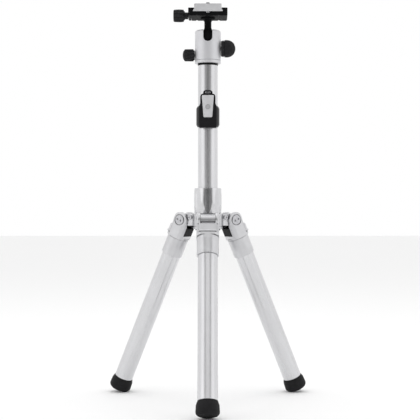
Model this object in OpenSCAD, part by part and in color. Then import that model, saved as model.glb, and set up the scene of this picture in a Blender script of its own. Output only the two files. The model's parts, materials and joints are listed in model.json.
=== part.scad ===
// Travel tripod with a ball head, a quick-release clamp and plate, and a remote release in a column holder.
// Frame: origin under the middle of the stance on the floor, +Z up, one leg points along -Y.

/* [Stance] */
// Angle between each leg and the column
leg_angle = 24.5; // [21:0.5:28]
// Gap between the lock collar and a foot when a leg is folded beside it
leg_gap = 1.8; // [1.5:0.1:6]

/* [Legs] */
// Outside diameter of the widest leg tube
leg_od = 24; // [20:0.5:29]
// Distance from the pivot to the end of the foot
leg_l = 246.5; // [200:1:320]
// Wall of the leg tubes
leg_wall = 1.2; // [1:0.1:1.5]
// Radial space between one leg tube and the next
tube_gap = 0.3; // [0.2:0.05:0.4]
// Length of the guide collars on the leg tubes
guide_l = 12; // [8:1:16]
// Radial clearance of the guide collars
guide_gap = 0.1; // [0.05:0.01:0.15]

/* [Leg tops] */
// Thickness of each fork cheek
cheek_t = 4.6; // [4:0.1:6]
// Radius of the fork cheeks round the pivot
cheek_r = 9.8; // [9:0.1:11]
// Distance from the pivot to the end of the leg top's sleeve
sleeve_end = 48; // [44:1:60]
// Radius of the pivot bolt's shank
bolt_r = 3; // [2.5:0.1:4]
// Radius of the pivot bolt's head
bolt_head_r = 6.4; // [5.5:0.1:7]
// Width of the stop tab
tab_w = 21.6; // [18:0.1:23]
// Height of the stop tab along the leg
tab_h = 11; // [9:0.5:12]

/* [Feet] */
// How far the foot stands out past the leg tube's radius
foot_flare = 2.2; // [1:0.1:3]
// Length of the foot
foot_l = 17.5; // [14:0.5:24]
// Rounding of the foot's lower edge
foot_round = 5; // [3:0.5:6]

/* [Column] */
// Outside diameter of the centre column
column_od = 25; // [21:0.5:30]
// Wall of the column tube
column_wall = 1.5; // [1.2:0.1:2]
// Length of column above the lock collar
column_rise = 155.5; // [120:0.5:190]
// Length of column below the top of the collar
column_tail = 90.6; // [80:0.1:120]
// Height of the lock collar
collar_h = 32; // [26:0.5:40]
// How far the lock collar stands out from the column
collar_wall = 5.5; // [4:0.1:7]
// Number of scallops round the lock collar
scallops = 8; // [6:1:12]

/* [Ball head] */
// Radius of the ball
ball_r = 12; // [10:0.1:14]
// Distance from the ball to the outside of the head's body
head_wall = 4.35; // [3:0.05:5]
// Height of the head's body
head_h = 37.7; // [36:0.1:44]
// Height of the ball's centre above the bottom of the body
ball_rise = 28.3; // [27.5:0.1:31]
// Radius of the neck under the clamp
neck_r = 4.5; // [3.5:0.1:5]
// Distance from the ball's centre to the underside of the clamp
neck_l = 25.7; // [24:0.1:32]
// Diameter of the ball lock knob
ball_knob_d = 22; // [18:0.5:26]
// Diameter of the pan lock knob
pan_knob_d = 15.5; // [12:0.5:18]

/* [Clamp and plate] */
// Width of the clamp across its jaws
clamp_w = 49.3; // [46:0.1:56]
// Length of the clamp along its jaws
clamp_l = 40; // [34:0.5:48]
// Height of the clamp
clamp_h = 9.9; // [8.5:0.1:11]
// Width of the dovetail at its base, a standard size
dovetail_w = 38; // [38:0.1:39]
// Length of the plate
plate_l = 42; // [36:0.5:60]
// Height of the plate
plate_h = 9.6; // [7:0.1:12]
// Diameter of the clamp knob
clamp_knob_d = 16; // [13:0.5:20]
// Radius of the camera screw's thread, a quarter inch across
camera_thread_r = 3.175; // [3.1:0.005:3.2]
// Height of the camera screw above the plate
camera_thread_h = 4.7; // [4:0.1:6]

/* [Remote] */
// Height of the remote's holder above the lock collar
holder_rise = 75.1; // [20:0.1:100]
// Height of the holder
holder_h = 31.9; // [26:0.1:40]
// Width of the remote's case
remote_w = 19; // [16:0.1:22]
// Height of the remote's case without its loop
remote_h = 40; // [34:0.5:46]
// Thickness of the remote's case
remote_t = 8.2; // [7.5:0.1:10]

/* [Hidden] */
$fn = 96;
slack = 0.05;       // radial clearance of a running fit
face_gap = 0.3;     // gap between faces that move past each other
cut = 1;            // how far a cut runs past a face
sides = ["front", "right", "left"];
leg_azimuth = [-90, 30, 150];
leg_parts = ["leg_top", "pivot_bolt", "fork_block", "stop_tab", "leg_tube", "tube_2", "tube_3", "tube_4", "foot"];

// Legs
leg_r = leg_od / 2;
foot_r = leg_r + foot_flare;
fork_w = leg_od + 4;
slot_w = fork_w - 2 * cheek_t;
sleeve_r = leg_r + 1.5;
foot_top = leg_l - foot_l;
tube_top = 27;
nest_top = sleeve_end + 3;
function tube_r(i) = leg_r - i * (leg_wall + tube_gap);

// Column and hub
column_r = column_od / 2;
collar_r = column_r + collar_wall;
pivot_r = collar_r + leg_gap + foot_r;
lug_r = 7.4;
hub_r = collar_r + 1;
hub_top = lug_r + 0.2;
hub_low = 11.6;
bush_r = column_r + 2.5;
flange_t = 1.2;

// The feet stand on the floor on their rounded edges, and the stance is centred on the origin
edge_r = foot_r - foot_round;
edge_s = leg_l - foot_round;
pivot_z = edge_s * cos(leg_angle) + edge_r * sin(leg_angle) + foot_round;
reach = pivot_r + edge_s * sin(leg_angle);
front_reach = reach + edge_r * cos(leg_angle) + foot_round;
back_reach = reach / 2 + edge_r * sqrt(1 - pow(sin(leg_angle) / 2, 2)) + foot_round;
column_y = (front_reach - back_reach) / 2;

collar_z = pivot_z + hub_top + 0.4;
collar_top = collar_z + collar_h;
column_top = collar_top + column_rise;
column_low = collar_top - column_tail;

// Ball head
head_r = ball_r + head_wall;
ring_h = 2.6;
pan_h = 3.6;
pan_z = column_top + ring_h;
head_z = pan_z + pan_h + face_gap;
ball_z = head_z + ball_rise;
spigot_r = 10;
spigot_h = 8.8;
spigot_z = head_z + spigot_h;
notch_r = neck_r + 1.15;
screw_r = 2.5;
clamp_screw_r = 1.6;
ball_screw_z = head_z + ball_rise - ball_r - 1.2;
pan_screw_z = head_z + 6.8;

// Clamp, plate and remote
clamp_z = ball_z + neck_l;
seat_z = clamp_z + 5.2;
jaw_w = 3.6;
half_dovetail = dovetail_w / 2;
flank = 1.8;
clamp_knob_z = clamp_z + 2.9;
holder_z = collar_top + holder_rise;
holder_wall = 1.5;
pocket_back = column_r + holder_wall + 0.4;
pocket_wall = 1.4;
remote_back = pocket_back + 1.2;
remote_front = remote_back + remote_t;
remote_z = holder_z + 2.7;
button_z = remote_z + 23.5;

module at_column(z = 0) {
    translate([0, column_y, z]) children();
}

// A leg's own frame: origin at the pivot, -Z down the leg, +X to its outer side
module leg_frame(i) {
    translate([0, column_y, pivot_z])
        rotate([0, 0, leg_azimuth[i]])
            translate([pivot_r, 0, 0])
                rotate([0, -leg_angle, 0]) children();
}

module along_y(length) {
    rotate([90, 0, 0]) linear_extrude(length, center = true) children();
}

module ring(outer, inner, height) {
    difference() {
        cylinder(h = height, r = outer);
        translate([0, 0, -cut]) cylinder(h = height + 2 * cut, r = inner);
    }
}

// A knob round +Z from z = 0, with grip flutes along it
module fluted_knob(radius, length, flutes, flute_r, round_r) {
    difference() {
        rotate_extrude()
            intersection() {
                square([radius, length]);
                union() {
                    square([radius - round_r, length]);
                    square([radius, length - round_r]);
                    translate([radius - round_r, length - round_r]) circle(r = round_r);
                }
            }
        for (a = [0:360 / flutes:359]) {
            rotate([0, 0, a])
                translate([radius + flute_r * 0.45, 0, 2])
                    cylinder(h = length, r = flute_r);
        }
    }
}

// Hub

module arm(i) {
    rotate([0, 0, leg_azimuth[i]])
        difference() {
            intersection() {
                along_y(slot_w - 0.4) {
                    translate([pivot_r, 0]) circle(r = lug_r);
                    translate([bush_r + 2, -lug_r]) square([pivot_r - bush_r - 2, 2 * lug_r]);
                }
                translate([0, 0, -lug_r]) cylinder(h = 2 * lug_r, r = pivot_r + lug_r + cut);
            }
            translate([pivot_r, 0, 0]) along_y(fork_w) circle(r = bolt_r + slack);
            // detent step and groove for the stop tab
            translate([pivot_r + 3.2, -fork_w / 2, -2.4]) cube([lug_r, fork_w, 1.6]);
            translate([hub_r + 1.8, 0, 3]) along_y(fork_w) circle(r = 1.25);
        }
}

module spider() {
    color("silver") at_column(pivot_z)
        difference() {
            union() {
                translate([0, 0, -hub_low]) cylinder(h = hub_low + hub_top, r = hub_r);
                for (i = [0:2]) arm(i);
            }
            translate([0, 0, -hub_low - cut])
                cylinder(h = hub_low + hub_top + 2 * cut, r = bush_r + slack);
            for (i = [0:2]) {
                rotate([0, 0, leg_azimuth[i]])
                    translate([hub_r + 1.8, 0, 3]) along_y(fork_w + 20) circle(r = 1.25);
            }
            translate([0, 0, -hub_low + 3]) ring(hub_r + cut, hub_r - 0.6, 0.8);
        }
}

// One cross screw with a round head at each side of every arm
module hub_screws() {
    color("gainsboro") at_column(pivot_z)
        for (i = [0:2]) {
            rotate([0, 0, leg_azimuth[i]])
                translate([hub_r + 1.8, 0, 3])
                    rotate([90, 0, 0]) {
                        cylinder(h = slot_w - 0.4, r = 1.2, center = true);
                        for (m = [0, 1]) {
                            mirror([0, 0, m])
                                translate([0, 0, slot_w / 2 - 0.2]) {
                                    difference() {
                                        cylinder(h = 1.6, r = 2.9);
                                        translate([0, 0, 0.8]) cylinder(h = 2, r = 1.4, $fn = 6);
                                    }
                                }
                        }
                    }
        }
}

module column_bush() {
    color("#202020") at_column(pivot_z - hub_low - flange_t - 0.4) {
        ring(bush_r, column_r + slack, collar_z - pivot_z + hub_low + flange_t + 0.4 + collar_h * 0.5);
        ring(bush_r + 0.8, column_r + slack, flange_t);
    }
}

module column_collet() {
    color("#2a2a2a") at_column(collar_z + collar_h * 0.5 + 0.6)
        difference() {
            rotate_extrude()
                polygon([
                    [column_r + 0.1, 0], [bush_r - 0.2, 0],
                    [column_r + 1.1, 8], [column_r + 0.1, 8]
                ]);
            translate([0, -0.5, -cut]) cube([bush_r + cut, 1, 12]);
        }
}

module lock_collar() {
    sag = 1.1;
    bulge_r = (pow(collar_h / 2, 2) + sag * sag) / (2 * sag);
    scallop_r = 30;
    color("silver") at_column(collar_z)
        difference() {
            rotate_extrude($fn = 128)
                intersection() {
                    square([collar_r, collar_h]);
                    translate([collar_r - bulge_r, collar_h / 2]) circle(r = bulge_r, $fn = 256);
                }
            translate([0, 0, -cut]) cylinder(h = collar_h * 0.5 + 10 + cut, r = bush_r + 0.4);
            translate([0, 0, -cut]) cylinder(h = collar_h + 2 * cut, r = column_r + 0.4);
            for (a = [0:360 / scallops:359]) {
                rotate([0, 0, a + 270])
                    translate([collar_r + scallop_r - 1.05, 0, -cut])
                        cylinder(h = collar_h + 2 * cut, r = scallop_r, $fn = 200);
            }
        }
}

// Column

module column_tube() {
    color("silver") at_column(column_low)
        ring(column_r, column_r - column_wall, column_top - column_low);
}

module column_ring() {
    color("#181818") at_column(column_top) {
        ring(column_r + 0.3, 5, ring_h);
        translate([0, 0, -8]) ring(column_r - column_wall, 5, 8);
    }
}

// Threaded stud that holds the head on the column, three eighths of an inch across
module column_stud() {
    color("dimgray") at_column(column_top - 10) {
        cylinder(h = 1.6, r = column_r - column_wall - 0.4);
        cylinder(h = 10 + ring_h + 9, r = 4.76);
    }
}

module column_end_cap() {
    color("#202020") at_column(column_low)
        difference() {
            union() {
                translate([0, 0, -3]) cylinder(h = 3, r = column_r);
                cylinder(h = 12, r = column_r - column_wall);
            }
            translate([0, 0, -3 - cut]) cylinder(h = 15 + 2 * cut, r = 2);
            translate([0, 0, 2]) cylinder(h = 11, r = 5);
        }
}

module bag_hook() {
    wire_r = 1.3;
    hook_r = 5.5;
    stem_low = -9;
    color("silver") at_column(column_low) {
        translate([0, 0, stem_low]) cylinder(h = 15 - stem_low, r = 1.9);
        translate([0, 0, 13]) cylinder(h = 2, r = 4.6);
        translate([0, 0, stem_low - hook_r])
            rotate([90, 0, 0])
                rotate_extrude(angle = 290, start = 90)
                    translate([hook_r, 0]) circle(r = wire_r);
    }
}

// Remote and its holder

module holder_outline() {
    polygon([
        [-remote_w / 2 - pocket_wall, 0], [remote_w / 2 + pocket_wall, 0],
        [remote_w / 2 + pocket_wall, holder_h - 5], [remote_w / 2 - 0.6, holder_h],
        [-remote_w / 2 + 0.6, holder_h], [-remote_w / 2 - pocket_wall, holder_h - 5]
    ]);
}

module face_outline(grow = 0) {
    top = 7.5 + grow;
    low = 5.6 + grow;
    hull() {
        translate([0, remote_h - 2]) {
            for (s = [-1, 1]) translate([s * (top - 1.4), -1.4 + grow]) circle(r = 1.4, $fn = 24);
        }
        translate([0, 10.3]) {
            for (s = [-1, 1]) translate([s * (low - 1.4), 1.4 - grow]) circle(r = 1.4, $fn = 24);
        }
    }
}

// A post with a short cone at each end
module eased_post(radius, height, ease, cone_h) {
    cylinder(h = cone_h, r1 = radius - ease, r2 = radius);
    translate([0, 0, cone_h]) cylinder(h = height - 2 * cone_h, r = radius);
    translate([0, 0, height - cone_h]) cylinder(h = cone_h, r1 = radius, r2 = radius - ease);
}

module remote_holder() {
    ear_low = 2.3;
    ear_wall = holder_wall + 0.7;
    ear_h = holder_h - 5.4;
    front = remote_front + 0.2 + pocket_wall;
    color("#1c1c1c") at_column(holder_z)
        difference() {
            union() {
                // clip round the column, open at the back
                translate([0, 0, ear_low]) eased_post(column_r + ear_wall, ear_h, 1.7, 3);
                translate([0, -pocket_back, 0])
                    rotate([90, 0, 0]) linear_extrude(front - pocket_back) holder_outline();
                translate([-remote_w / 2 - pocket_wall, -pocket_back - cut, ear_low])
                    cube([remote_w + 2 * pocket_wall, pocket_back - column_r * 0.75, ear_h]);
            }
            translate([0, 0, -cut]) cylinder(h = holder_h + 2 * cut, r = column_r + slack);
            translate([-column_r * 0.75, 0, -cut])
                cube([column_r * 1.5, column_r + 5, holder_h + 2 * cut]);
            // pocket for the remote, and the window in front of its face
            translate([-remote_w / 2 - 0.3, -remote_front - 0.2, 2.4])
                cube([remote_w + 0.6, remote_t + 0.5, holder_h]);
            translate([0, -remote_front - 4, remote_z - holder_z])
                rotate([90, 0, 0]) mirror([0, 0, 1])
                    linear_extrude(6) {
                        polygon([
                            [-6, 9.9], [6, 9.9], [7.9, remote_h - 2],
                            [7.9, remote_h + 9], [-7.9, remote_h + 9], [-7.9, remote_h - 2]
                        ]);
                    }
        }
}

module remote_case() {
    half = remote_w / 2;
    shoulder = 3.5;
    loop_r = 5.9;
    color("#151515") at_column(remote_z)
        difference() {
            union() {
                translate([0, -remote_back, 0])
                    rotate([90, 0, 0])
                        linear_extrude(remote_t)
                            polygon([
                                [-half + 1, 0], [half - 1, 0], [half, 1], [half, remote_h - shoulder],
                                [half - 0.9, remote_h - 1.2], [half - 3, remote_h],
                                [-half + 3, remote_h], [-half + 0.9, remote_h - 1.2],
                                [-half, remote_h - shoulder], [-half, 1]
                            ]);
                translate([0, -remote_back - remote_t / 2, remote_h])
                    rotate([90, 0, 0])
                        linear_extrude(3, center = true)
                            difference() {
                                union() {
                                    translate([-loop_r, -0.5]) square([2 * loop_r, 1.5]);
                                    translate([-loop_r + 3.4, 0]) square([2 * loop_r - 6.8, 4.6]);
                                    for (s = [-1, 1]) translate([s * (loop_r - 3.4), 1.2]) circle(r = 3.4);
                                }
                                hull() {
                                    for (s = [-1, 1]) translate([s * 2.2, 1.9]) circle(r = 1.3, $fn = 24);
                                }
                            }
            }
            translate([0, -remote_front - cut, button_z - remote_z])
                rotate([-90, 0, 0]) cylinder(h = 4.4 + cut, r = 6.6);
        }
}

module remote_face() {
    color("silver") at_column(remote_z)
        difference() {
            translate([0, -remote_front, 0])
                rotate([90, 0, 0]) linear_extrude(1.2) face_outline();
            translate([0, -remote_front + cut, button_z - remote_z])
                rotate([90, 0, 0]) cylinder(h = 4, r = 2.9);
        }
}

module remote_button() {
    color("#9a9a9a") at_column(button_z)
        translate([0, -remote_front + 0.9, 0])
            rotate([90, 0, 0]) {
                cylinder(h = 2.7, r = 2.8);
                translate([0, 0, -0.2]) cylinder(h = 0.7, r = 4.2);
            }
}

module remote_battery() {
    color("gainsboro") at_column(button_z)
        translate([0, -remote_front + 4.2, 0])
            rotate([90, 0, 0]) {
                cylinder(h = 1.2, r = 6.25);
                translate([0, 0, 1.2]) cylinder(h = 0.4, r = 5.4);
            }
}

// Ball head

module pan_base() {
    color("silver") at_column(pan_z)
        difference() {
            union() {
                rotate_extrude() {
                    square([head_r - 0.5, pan_h]);
                    translate([0, 0.6]) square([head_r + 0.15, pan_h - 0.6]);
                    translate([head_r - 0.45, 0.6]) circle(r = 0.6);
                }
                cylinder(h = spigot_z - pan_z - 0.6, r = spigot_r);
            }
            translate([0, 0, -cut]) cylinder(h = 9 + cut + 0.3, r = 4.8);
            // groove that the pan lock bears in
            translate([0, 0, pan_screw_z - pan_z - 1.2]) ring(spigot_r + cut, spigot_r - 0.8, 2.4);
        }
}

module head_body() {
    opening_r = 10.4 / 12 * ball_r;
    round_r = 2.2;
    color("silver") at_column(head_z)
        difference() {
            rotate_extrude($fn = 128) {
                square([head_r - round_r, head_h]);
                square([head_r, head_h - round_r]);
                translate([head_r - round_r, head_h - round_r]) circle(r = round_r);
            }
            translate([0, 0, -cut]) cylinder(h = spigot_h + cut, r = spigot_r + slack);
            translate([0, 0, ball_rise]) sphere(r = ball_r + 0.1);
            translate([0, 0, spigot_h + 2.4])
                cylinder(h = ball_rise - spigot_h - 2.4, r = ball_r + 0.1);
            translate([0, 0, ball_rise]) cylinder(h = head_h, r = opening_r);
            // drop notch at the front
            translate([0, 0, ball_rise]) rotate([90, 0, 0]) cylinder(h = head_r + cut, r = notch_r);
            translate([-notch_r, -head_r - cut, ball_rise])
                cube([2 * notch_r, head_r + cut, head_h]);
            // lock screw holes
            translate([0, 0, ball_screw_z - head_z])
                rotate([0, 90, 0]) cylinder(h = head_r + cut, r = screw_r + slack);
            translate([0, 0, pan_screw_z - head_z])
                rotate([0, -90, 0]) cylinder(h = head_r + cut, r = 2 + slack);
        }
}

module ball_cup() {
    low = spigot_h + 2.7;
    color("#2c2c30") at_column(head_z)
        difference() {
            translate([0, 0, low]) cylinder(h = ball_rise - low - 6, r = ball_r - 0.05);
            translate([0, 0, ball_rise]) sphere(r = ball_r + 0.05);
            translate([ball_r - 4.5, 0, ball_screw_z - head_z])
                rotate([0, 90, 0]) cylinder(h = 6, r = screw_r + 0.4);
        }
}

module ball_stem() {
    flare = 1.2;
    boss_r = 9.2;
    color("#1a1a1a") at_column(ball_z)
        difference() {
            union() {
                sphere(r = ball_r);
                cylinder(h = neck_l - 1, r = neck_r);
                // narrower than the drop notch, which it lies in at the end of the tilt
                translate([0, 0, ball_r - 1.2]) cylinder(h = 2.4, r1 = neck_r + 0.8, r2 = neck_r);
                translate([0, 0, neck_l - 5]) cylinder(h = 2, r1 = neck_r, r2 = neck_r + flare);
                translate([0, 0, neck_l - 3.1]) cylinder(h = 1.2, r1 = neck_r + 1.4, r2 = boss_r);
                translate([0, 0, neck_l - 1.9]) cylinder(h = 1.9 - face_gap, r = boss_r);
            }
            translate([0, 0, neck_l - 9]) cylinder(h = 10, r = 2.05);
            translate([-ball_r, -ball_r, -ball_r - 0.2]) cube([2 * ball_r, 2 * ball_r, 1.4]);
        }
}

module ball_lock_knob() {
    base_l = 3.6;
    knob_r = ball_knob_d / 2;
    color("#1f1f1f") at_column(ball_screw_z)
        translate([head_r + face_gap, 0, 0])
            rotate([0, 90, 0])
                difference() {
                    union() {
                        cylinder(h = base_l, r1 = knob_r - 1.4, r2 = knob_r - 0.2);
                        translate([0, 0, base_l]) cylinder(h = 0.8, r = knob_r - 0.9);
                        translate([0, 0, base_l + 0.8]) cylinder(h = 3.2, r = knob_r);
                        intersection() {
                            translate([0, 0, base_l + 4]) sphere(r = knob_r);
                            translate([0, 0, base_l + 4]) cylinder(h = knob_r + cut, r = knob_r);
                        }
                    }
                    translate([0, 0, -cut]) cylinder(h = 8 + cut, r = screw_r);
                }
}

module ball_lock_screw() {
    color("gray") at_column(ball_screw_z)
        translate([ball_r - 3.2, 0, 0])
            rotate([0, 90, 0]) {
                cylinder(h = 1.2, r1 = 1.4, r2 = screw_r);
                translate([0, 0, 1.2]) cylinder(h = head_r - ball_r + 3.2 + face_gap + 6.8, r = screw_r);
            }
}

module pan_lock_knob() {
    color("#1f1f1f") at_column(pan_screw_z)
        translate([-head_r - face_gap, 0, 0])
            rotate([0, -90, 0])
                difference() {
                    union() {
                        translate([0, 0, 1.6]) fluted_knob(pan_knob_d / 2, 13.6, 14, 1.1, 4.2);
                        cylinder(h = 1.6, r = pan_knob_d / 2 - 1.6);
                    }
                    translate([0, 0, -cut]) cylinder(h = 7 + cut, r = 2);
                }
}

module pan_lock_screw() {
    tip = spigot_r - 0.8 + 0.3;
    color("gray") at_column(pan_screw_z)
        translate([-tip, 0, 0])
            rotate([0, -90, 0]) {
                cylinder(h = 0.9, r1 = 1, r2 = 1.2);
                translate([0, 0, 0.9]) cylinder(h = head_r - tip + face_gap + 5.4, r = 2);
            }
}

// Clamp and plate

module jaw_profile(inner) {
    polygon([
        [inner, 0], [inner, 1.1], [inner - flank, 1.1 + flank], [inner - flank, clamp_h - 5.2],
        [clamp_w / 2 - 0.5, clamp_h - 5.2], [clamp_w / 2, clamp_h - 5.7], [clamp_w / 2, 0]
    ]);
}

module clamp_body() {
    left = clamp_w / 2 - jaw_w;
    color("#161616") at_column(clamp_z)
        difference() {
            union() {
                along_y(clamp_l)
                    polygon([
                        [-left, 0.8], [-left + 0.8, 0], [clamp_w / 2 - 1.2, 0], [clamp_w / 2, 1.2],
                        [clamp_w / 2, 5.2], [-left, 5.2]
                    ]);
                translate([0, 0, 5.2]) along_y(clamp_l) jaw_profile(half_dovetail + 0.1);
            }
            // recess for the clamp's bolt, screw bore, relief for the stop screws
            translate([0, 0, 2.2]) cylinder(h = 4, r = 5.2);
            translate([0, 0, -cut]) cylinder(h = 5, r = 2.1);
            translate([-left - cut, 0, clamp_knob_z - clamp_z])
                rotate([0, 90, 0]) cylinder(h = 14 + cut, r = clamp_screw_r + 0.15);
            for (m = [0, 1]) {
                mirror([0, m, 0])
                    translate([-3.7, 8, 3]) cube([7.4, clamp_l / 2 - 8 + cut, 3]);
            }
            // weight-saving scoops under the base
            for (s = [-1, 1]) {
                translate([s * 14, 0, -1.3]) along_y(clamp_l + cut) circle(r = 2);
            }
        }
}

module clamp_bolt() {
    color("dimgray") at_column(clamp_z)
        difference() {
            union() {
                translate([0, 0, -8]) cylinder(h = 10.3, r = 2);
                translate([0, 0, 2.25]) cylinder(h = 2.5, r = 4.6);
            }
            translate([0, 0, 3]) cylinder(h = 3, r = 1.7, $fn = 6);
        }
}

module clamp_jaw() {
    left = clamp_w / 2 - jaw_w;
    color("#161616") at_column(clamp_z)
        difference() {
            union() {
                along_y(clamp_l)
                    polygon([
                        [-clamp_w / 2 + 0.8, 0.2], [-clamp_w / 2, 1], [-clamp_w / 2, clamp_h - 0.5],
                        [-clamp_w / 2 + 0.5, clamp_h], [-left - face_gap, clamp_h], [-left - face_gap, 0.2]
                    ]);
                translate([0, 0, 5.2]) mirror([1, 0, 0]) along_y(clamp_l)
                    difference() {
                        jaw_profile(half_dovetail + 0.1);
                        translate([0, -cut]) square([clamp_w / 2, cut + 0.3]);
                    }
            }
            translate([-clamp_w, 0, clamp_knob_z - clamp_z])
                rotate([0, 90, 0]) cylinder(h = clamp_w, r = clamp_screw_r + slack);
        }
}

module clamp_knob() {
    waist = 4.3;
    color("#1f1f1f") at_column(clamp_knob_z)
        translate([-clamp_w / 2 - 0.2, 0, 0])
            rotate([0, -90, 0])
                difference() {
                    union() {
                        cylinder(h = waist + 1, r = 4.35);
                        translate([0, 0, waist]) cylinder(h = 1.3, r1 = 5.5, r2 = clamp_knob_d / 2 - 0.6);
                        translate([0, 0, waist + 1.2]) fluted_knob(clamp_knob_d / 2, 13.4, 14, 1.15, 1.6);
                    }
                    translate([0, 0, -cut]) cylinder(h = 10 + cut, r = clamp_screw_r);
                }
}

module clamp_screw() {
    color("gray") at_column(clamp_knob_z)
        translate([-clamp_w / 2 - 9.8, 0, 0])
            rotate([0, 90, 0]) cylinder(h = 9.8 + jaw_w + 12, r = clamp_screw_r);
}

module plate() {
    half = half_dovetail;
    neck = half - flank;
    color("silver") at_column(seat_z + 0.1)
        difference() {
            intersection() {
                along_y(plate_l)
                    polygon([
                        [-half, 0], [half, 0], [half, 1], [neck, 1 + flank], [neck, plate_h - 0.6],
                        [neck - 0.6, plate_h], [-neck + 0.6, plate_h], [-neck, plate_h - 0.6],
                        [-neck, 1 + flank], [-half, 1]
                    ]);
                // corners cut back in plan
                linear_extrude(plate_h)
                    polygon([
                        for (c = [[1, 1], [-1, 1], [-1, -1], [1, -1]])
                            for (k = c[0] * c[1] > 0 ? [0, 1] : [1, 0])
                                [c[0] * (half - 1.5 * k), c[1] * (plate_l / 2 - 1.5 * (1 - k))]
                    ]);
            }
            translate([0, 0, -cut]) cylinder(h = plate_h + 2 * cut, r = camera_thread_r + 0.1);
            translate([0, 0, -cut]) cylinder(h = 3.4 + cut, r = 8.2);
            for (s = [-1, 1]) {
                translate([-neck + 2.5, s * plate_l / 4 - plate_l / 8, plate_h - 0.9])
                    cube([2 * neck - 5, plate_l / 4, 2]);
                translate([0, s * (plate_l / 2 - 3), -cut]) cylinder(h = 4 + cut, r = 1.25);
            }
        }
}

module plate_pads() {
    neck = half_dovetail - flank;
    color("#222222") at_column(seat_z + 0.1)
        for (s = [-1, 1]) {
            translate([-neck + 2.6, s * plate_l / 4 - plate_l / 8 + 0.1, plate_h - 0.9])
                cube([2 * neck - 5.2, plate_l / 4 - 0.2, 1.2]);
        }
}

// The thread starts above the plate and the shank turns in it
module camera_screw() {
    top = plate_h + 0.3;
    color("darkgray") at_column(seat_z + 0.1)
        difference() {
            union() {
                translate([0, 0, 0.4]) cylinder(h = 2.7, r = 7.4);
                translate([0, 0, 3]) cylinder(h = top - 3, r = 2.9);
                translate([0, 0, top]) cylinder(h = camera_thread_h - 0.7, r = camera_thread_r);
                translate([0, 0, top + camera_thread_h - 0.7])
                    cylinder(h = 0.7, r1 = camera_thread_r, r2 = camera_thread_r - 0.7);
            }
            translate([-cut - 7.4, -0.8, 0.4 - cut]) cube([14.8 + 2 * cut, 1.6, 1.4 + cut]);
        }
}

module stop_screws() {
    color("gainsboro") at_column(seat_z + 0.1)
        for (s = [-1, 1]) {
            translate([0, s * (plate_l / 2 - 3), 0]) {
                translate([0, 0, -1.7])
                    difference() {
                        cylinder(h = 1.7, r = 2.7);
                        translate([0, 0, -cut]) cylinder(h = 1 + cut, r = 1.2, $fn = 6);
                    }
                cylinder(h = 3.6, r = 1.2);
            }
        }
}

// Legs

module cheek_profile() {
    inner = leg_r;
    outer = leg_r + 0.7;
    circle(r = cheek_r);
    polygon([
        [-cheek_r, 0], [-inner, -6], [-inner, -24], [outer, -24],
        [outer, -9.2 - tab_h - 0.6], [cheek_r - 1, -9.2 - tab_h - 0.6], [cheek_r - 1, 0]
    ]);
}

module leg_top(i) {
    tab_gap = 1.2;
    color("silver") leg_frame(i)
        difference() {
            union() {
                intersection() {
                    along_y(fork_w) cheek_profile();
                    translate([0, 0, -50]) cylinder(h = 100, r = fork_w / 2 + 1.2);
                }
                translate([0, 0, -sleeve_end]) cylinder(h = sleeve_end - 23, r = sleeve_r);
            }
            // slot for the hub's arm
            translate([-30, -slot_w / 2, -18.5]) cube([60, slot_w, 60]);
            along_y(fork_w + 2 * cut) circle(r = bolt_r + slack);
            for (m = [0, 1]) {
                mirror([0, m, 0])
                    translate([0, fork_w / 2 + cut, 0])
                        rotate([90, 0, 0]) cylinder(h = 1.2 + cut, r = bolt_head_r + 0.65);
                // gap that sets the stop tab off from the cheek
                mirror([0, m, 0])
                    translate([cheek_r - 1 - tab_gap, slot_w / 2 - cut, -9.2 - tab_h - 0.6])
                        cube([tab_gap + cut, cheek_t + 2 * cut, tab_h + 1.4]);
            }
            // flat on the outer side, and a groove round the top of the sleeve
            translate([leg_r + 0.7, -fork_w / 2, -28]) cube([10, fork_w, 20]);
            translate([0, 0, -24.6]) ring(fork_w, sleeve_r - 0.5, 0.7);
            translate([0, 0, -sleeve_end - cut])
                cylinder(h = sleeve_end - tube_top + cut, r = leg_r + slack);
        }
}

module pivot_bolt(i) {
    bolt_l = fork_w - 2.4;
    color("gainsboro") leg_frame(i) {
        difference() {
            union() {
                along_y(bolt_l) circle(r = bolt_r);
                for (m = [0, 1]) {
                    mirror([0, m, 0])
                        translate([0, bolt_l / 2, 0])
                            rotate([-90, 0, 0]) {
                                cylinder(h = 1.1, r = bolt_head_r);
                                translate([0, 0, 1.1])
                                    cylinder(h = 0.6, r1 = bolt_head_r, r2 = bolt_head_r - 0.8);
                            }
                }
            }
            for (a = [-1, 1]) {
                for (m = [0, 1]) {
                    mirror([0, m, 0])
                        translate([a * 2.6, bolt_l / 2 + 0.5, 0])
                            rotate([-90, 0, 0]) cylinder(h = 3, r = 1.35);
                }
            }
        }
    }
}

module fork_block(i) {
    color("#121212") leg_frame(i)
        translate([-leg_r - 0.4, -slot_w / 2 + 0.1, -18.4]) cube([leg_r, slot_w - 0.2, 10.6]);
}

module stop_tab(i) {
    lip = 1.2;
    inner = cheek_r - 0.8;
    color("silver") leg_frame(i) {
        along_y(tab_w)
            polygon([
                [inner, -9.2 - tab_h], [inner, -9.2], [inner + 2.2, -9.2],
                [inner + 3, -10], [inner + 3, -9.2 - tab_h + 2.4],
                [inner + 3 + lip, -9.2 - tab_h + 1.2], [inner + 3 + lip, -9.2 - tab_h]
            ]);
        along_y(slot_w - 0.8)
            polygon([[2, -10.2], [inner + 0.5, -10.2], [inner + 0.5, -17.6], [2, -17.6]]);
    }
}

module leg_tube(i) {
    bore = leg_r - leg_wall;
    color("silver") leg_frame(i)
        difference() {
            translate([0, 0, -foot_top + 0.4]) cylinder(h = foot_top - 0.4 - tube_top, r = leg_r);
            translate([0, 0, -foot_top + guide_l])
                cylinder(h = foot_top, r = bore);
            translate([0, 0, -foot_top - cut])
                cylinder(h = guide_l + 2 * cut, r = tube_r(1) + guide_gap);
        }
}

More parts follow.
